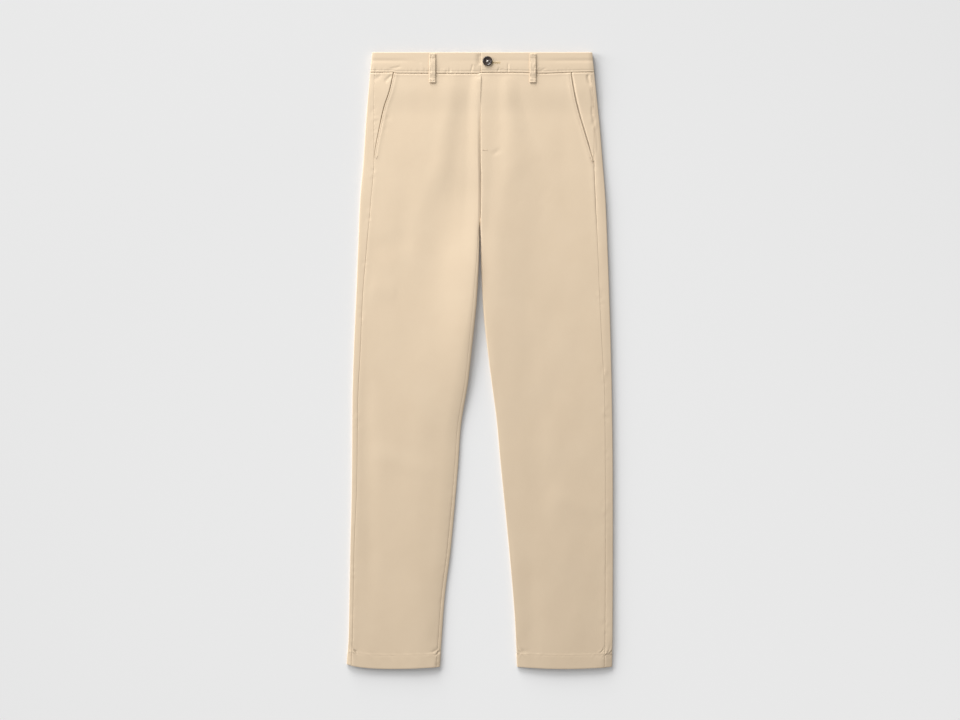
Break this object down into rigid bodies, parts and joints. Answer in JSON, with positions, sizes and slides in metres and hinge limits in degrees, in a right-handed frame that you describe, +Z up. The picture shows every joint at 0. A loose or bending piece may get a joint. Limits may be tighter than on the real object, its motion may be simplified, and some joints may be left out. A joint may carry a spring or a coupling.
{
  "type": "chino trousers",
  "caption": "Straight-cut plain chino trousers with slanted side pockets, belt loops and a buttoned waistband, laid flat on their back.",
  "frame": {"origin": "on the surface the trousers lie on, under the middle of their outline", "axes": "+X towards the wearer's left, +Y along the legs towards the waist, +Z up, away from the surface and out of the front"},
  "size_m": [0.4636, 1.074, 0.011],
  "materials": {
    "twill": "matte beige cotton twill",
    "button": "dark brown horn-like plastic, softly polished"
  },
  "bodies": {
    "root": {"front_left": "twill", "front_right": "twill", "back_left": "twill", "back_right": "twill", "pocket_facing_left": "twill", "pocket_facing_right": "twill", "waistband_left": "twill", "waistband_right": "twill", "belt_loop_front_left": "twill", "belt_loop_front_right": "twill", "belt_loop_back_left": "twill", "belt_loop_back_centre": "twill", "belt_loop_back_right": "twill", "button": "button"}
  },
  "joints": []
}
